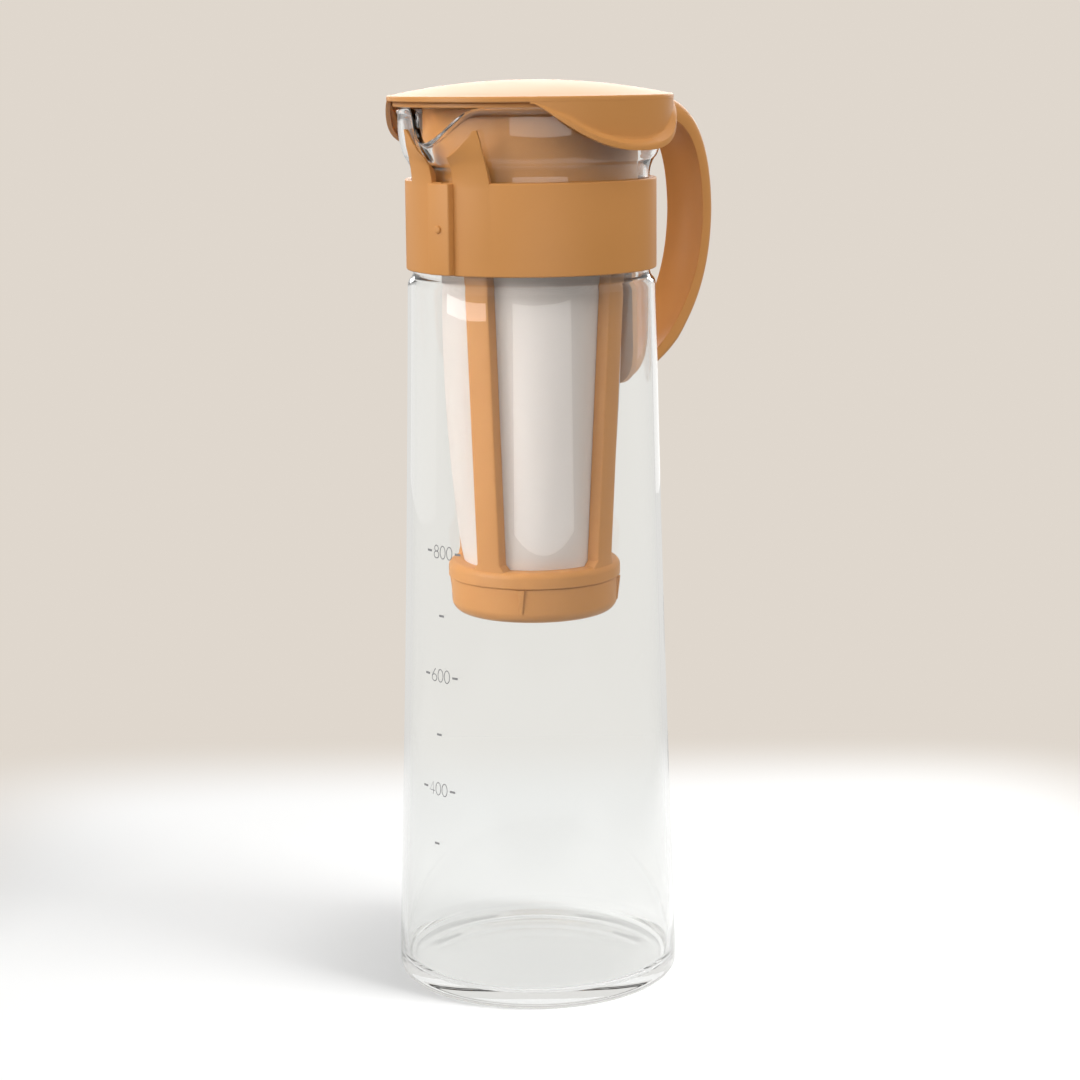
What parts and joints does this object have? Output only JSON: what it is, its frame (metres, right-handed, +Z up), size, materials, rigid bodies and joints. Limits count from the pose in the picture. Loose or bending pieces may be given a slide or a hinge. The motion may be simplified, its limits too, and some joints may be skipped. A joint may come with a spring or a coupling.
{
  "type": "cold brew coffee jug",
  "caption": "Tapered glass cold brew jug with a spout, a clipped neck band and looped grip, a lift-out strainer with a twist-off cap, and a winged lid.",
  "frame": {"origin": "centre of the carafe's base, on the surface that it stands on", "axes": "+Z up along the carafe's axis, +X towards the grip, -X towards the spout, +Y to the right of the grip seen from the grip"},
  "size_m": [0.1346, 0.0966, 0.2948],
  "materials": {
    "clear_glass": "clear, fire-polished",
    "tan_plastic": "satin moulded polypropylene",
    "filter_cloth": "fine polyester mesh",
    "scale_print": "baked grey print"
  },
  "bodies": {
    "carafe": {"glass_carafe": "clear_glass", "neck_band": "tan_plastic", "band_clip": "tan_plastic", "grip_handle": "tan_plastic"},
    "strainer": {"strainer_frame": "tan_plastic", "filter_mesh": "filter_cloth"},
    "cap": {"strainer_cap": "tan_plastic"},
    "lid": {"lid": "tan_plastic", "lid_wing_left": "tan_plastic", "lid_wing_right": "tan_plastic"}
  },
  "joints": [
    {"name": "strainer_lift", "type": "slide", "parent": "carafe", "child": "strainer", "axis": [0, 0, 1], "range_m": [0, 0.175]},
    {"name": "cap_twist", "type": "hinge", "parent": "strainer", "child": "cap", "pos_m": [0, 0, 0.129], "axis": [0, 0, -1], "range_deg": [0, 30]},
    {"name": "lid_lift", "type": "slide", "parent": "strainer", "child": "lid", "axis": [0, 0, 1], "range_m": [0, 0.045]}
  ]
}
